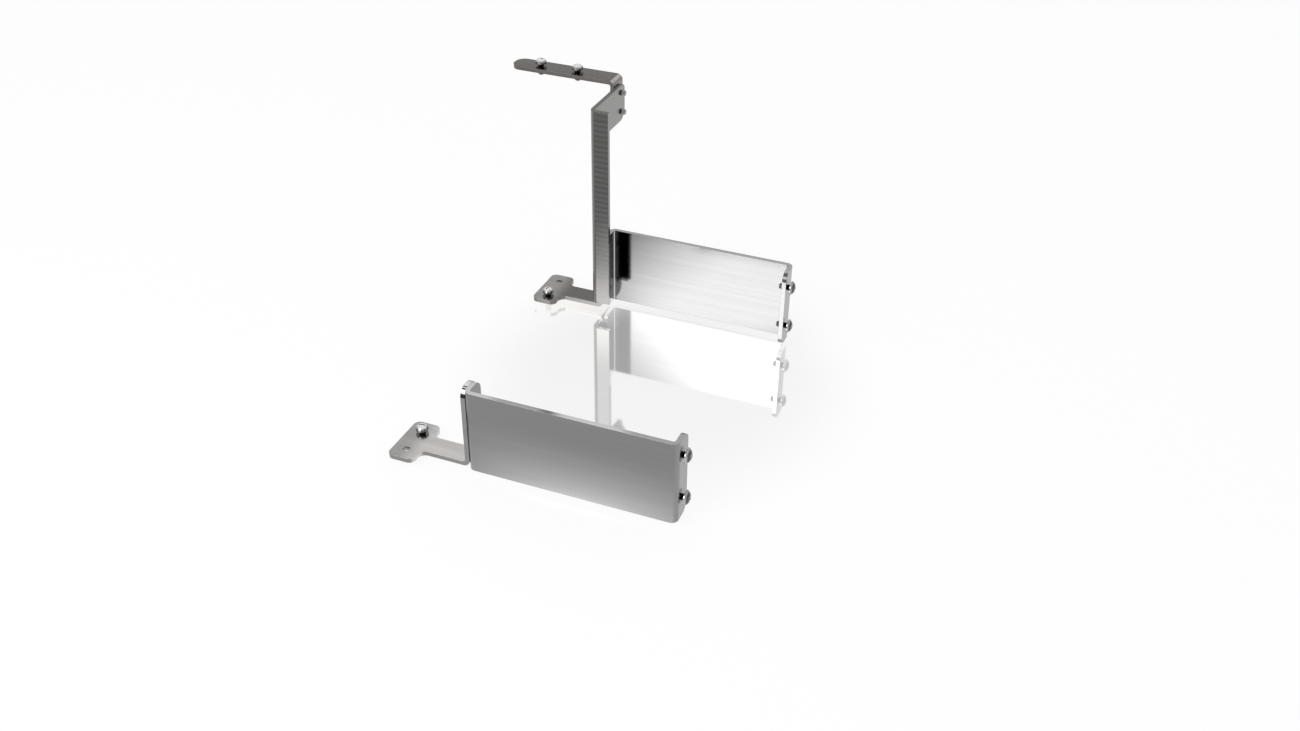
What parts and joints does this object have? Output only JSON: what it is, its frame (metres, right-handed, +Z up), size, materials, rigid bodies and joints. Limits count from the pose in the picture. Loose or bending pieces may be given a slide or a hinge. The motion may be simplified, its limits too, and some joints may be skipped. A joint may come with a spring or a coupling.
{
  "type": "vertical graphics card mount",
  "caption": "Folded steel mount that holds a graphics card upright: channel plates on foot brackets, with a post and a slot arm that clamps the card's bracket.",
  "frame": {"origin": "centre of the front foot's open hole, on the underside of the feet", "axes": "+X along the plates to the right, +Y from the front plate to the rear one, +Z up"},
  "size_m": [0.1627, 0.1926, 0.1209],
  "materials": {
    "front_plate_steel": "brushed along its length",
    "rear_plate_steel": "fine brushed, near polished",
    "foot_steel": "satin",
    "post_steel": "brushed across its width",
    "arm_steel": "satin",
    "screw_steel": "polished"
  },
  "bodies": {
    "root": {"front_plate": "front_plate_steel", "rear_plate": "rear_plate_steel", "front_foot_bracket": "foot_steel", "rear_foot_bracket": "foot_steel", "post": "post_steel", "top_arm": "arm_steel", "front_right_screw_lower": "screw_steel", "front_right_screw_upper": "screw_steel", "rear_right_screw_lower": "screw_steel", "rear_right_screw_upper": "screw_steel", "front_left_screw_lower": "screw_steel", "front_left_screw_upper": "screw_steel", "rear_left_screw_lower": "screw_steel", "rear_left_screw_upper": "screw_steel", "front_foot_screw": "screw_steel", "rear_foot_screw": "screw_steel", "ear_screw_lower": "screw_steel", "ear_screw_upper": "screw_steel", "slot_screw_inner": "screw_steel", "slot_screw_outer": "screw_steel"}
  },
  "joints": []
}
